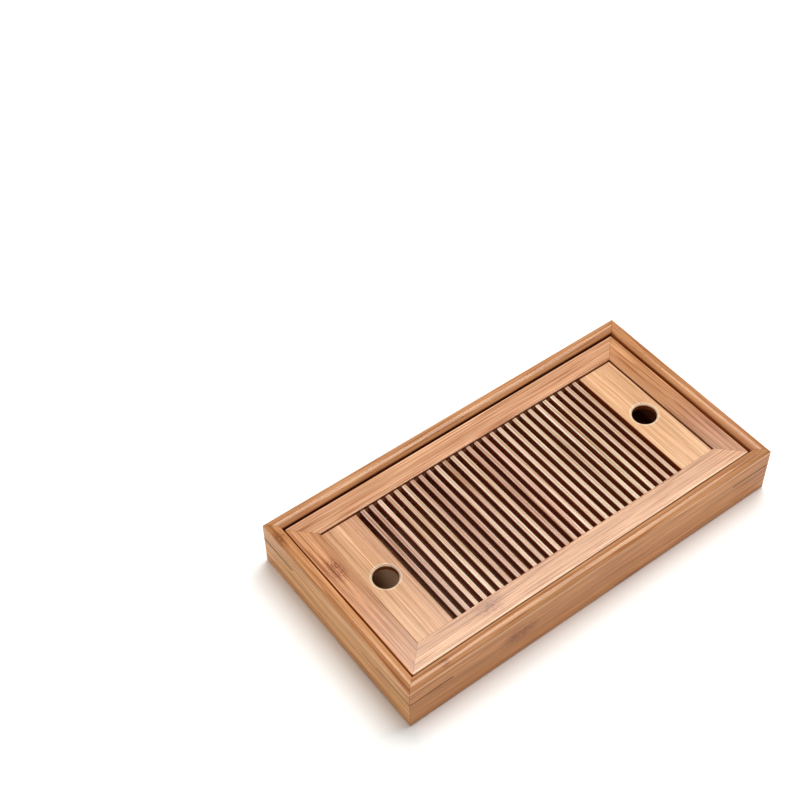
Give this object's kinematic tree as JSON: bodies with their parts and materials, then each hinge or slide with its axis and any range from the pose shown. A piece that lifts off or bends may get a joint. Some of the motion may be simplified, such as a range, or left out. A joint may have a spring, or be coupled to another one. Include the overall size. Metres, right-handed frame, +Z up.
{
  "type": "gongfu tea tray",
  "caption": "Rectangular bamboo gongfu tea tray: moulded mitred base holding a loose plastic water tray under a lift-off slatted lid with a round finger hole at each end.",
  "frame": {"origin": "middle of the tray's footprint, on the surface it stands on", "axes": "+X along the tray's length, -Y towards its front long side, +Z up"},
  "size_m": [0.27, 0.14, 0.035],
  "materials": {
    "base_long_bamboo": "satin lacquered carbonized bamboo, grain along the rail",
    "base_short_bamboo": "satin lacquered carbonized bamboo, grain along the rail",
    "key_bamboo": "satin lacquered dark slip",
    "panel_bamboo": "plain sanded board",
    "lid_long_bamboo": "satin lacquered carbonized bamboo, grain along the rail",
    "lid_short_bamboo": "satin lacquered carbonized bamboo, grain along the rail",
    "board_bamboo": "satin lacquered light bamboo",
    "slat_bamboo": "satin lacquered light bamboo",
    "tray_plastic": "gloss moulded dark brown"
  },
  "bodies": {
    "base": {"base_front_rail": "base_long_bamboo", "base_back_rail": "base_long_bamboo", "base_left_rail": "base_short_bamboo", "base_right_rail": "base_short_bamboo", "corner_key_front_left": "key_bamboo", "corner_key_front_right": "key_bamboo", "corner_key_back_left": "key_bamboo", "corner_key_back_right": "key_bamboo", "bottom_panel": "panel_bamboo"},
    "water_tray": {"water_tray": "tray_plastic"},
    "lid": {"lid_front_rail": "lid_long_bamboo", "lid_back_rail": "lid_long_bamboo", "lid_left_rail": "lid_short_bamboo", "lid_right_rail": "lid_short_bamboo", "lid_left_board": "board_bamboo", "lid_right_board": "board_bamboo", "slat_01": "slat_bamboo", "slat_02": "slat_bamboo", "slat_03": "slat_bamboo", "slat_04": "slat_bamboo", "slat_05": "slat_bamboo", "slat_06": "slat_bamboo", "slat_07": "slat_bamboo", "slat_08": "slat_bamboo", "slat_09": "slat_bamboo", "slat_10": "slat_bamboo", "slat_11": "slat_bamboo", "slat_12": "slat_bamboo", "slat_13": "slat_bamboo", "slat_14": "slat_bamboo", "slat_15": "slat_bamboo", "slat_16": "slat_bamboo", "slat_17": "slat_bamboo", "slat_18": "slat_bamboo", "slat_19": "slat_bamboo", "slat_20": "slat_bamboo", "slat_21": "slat_bamboo", "slat_22": "slat_bamboo", "slat_23": "slat_bamboo", "slat_24": "slat_bamboo", "slat_25": "slat_bamboo", "slat_26": "slat_bamboo", "slat_27": "slat_bamboo", "slat_28": "slat_bamboo"}
  },
  "joints": [
    {"name": "water_tray_lift", "type": "slide", "parent": "base", "child": "water_tray", "axis": [0, 0, 1], "range_m": [0, 0.045]},
    {"name": "lid_lift", "type": "slide", "parent": "water_tray", "child": "lid", "axis": [0, 0, 1], "range_m": [0, 0.03]}
  ]
}
